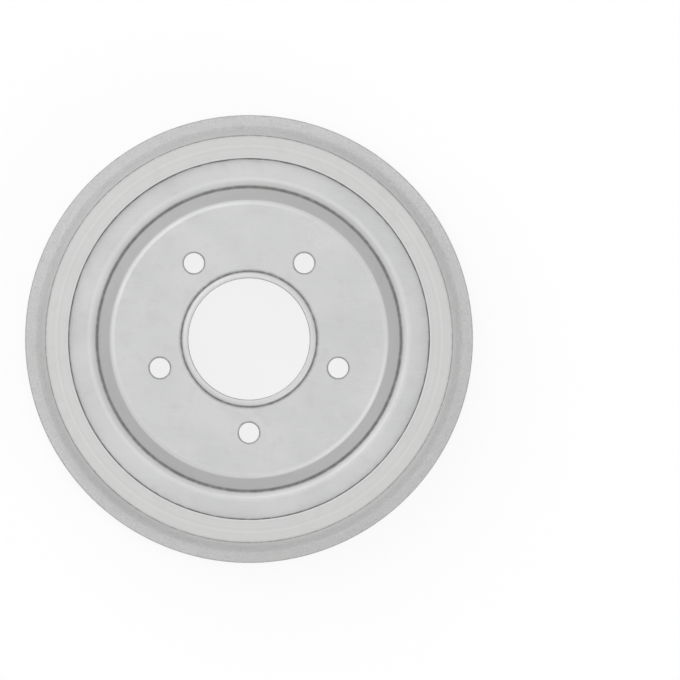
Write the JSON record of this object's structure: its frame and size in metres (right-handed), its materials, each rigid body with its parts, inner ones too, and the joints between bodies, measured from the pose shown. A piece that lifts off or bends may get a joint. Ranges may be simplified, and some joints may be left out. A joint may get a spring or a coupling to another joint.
{
  "type": "brake drum",
  "caption": "Composite brake drum: cast-iron friction ring with a seal groove in its flange, cast round the rim of a pressed-steel web with hub bore and stud holes.",
  "frame": {"origin": "centre of the open face, the plane that the drum stands on", "axes": "+Z along the axle line from the open face towards the hat and the wheel; one stud hole lies on -Y"},
  "size_m": [0.3224, 0.3224, 0.0961],
  "materials": {
    "cast_iron": "satin grey, cast outside, turned on the friction surface, the flange and the faces",
    "pressed_steel": "satin grey sheet, smooth from the press"
  },
  "bodies": {
    "root": {"brake_ring": "cast_iron", "web": "pressed_steel"}
  },
  "joints": []
}
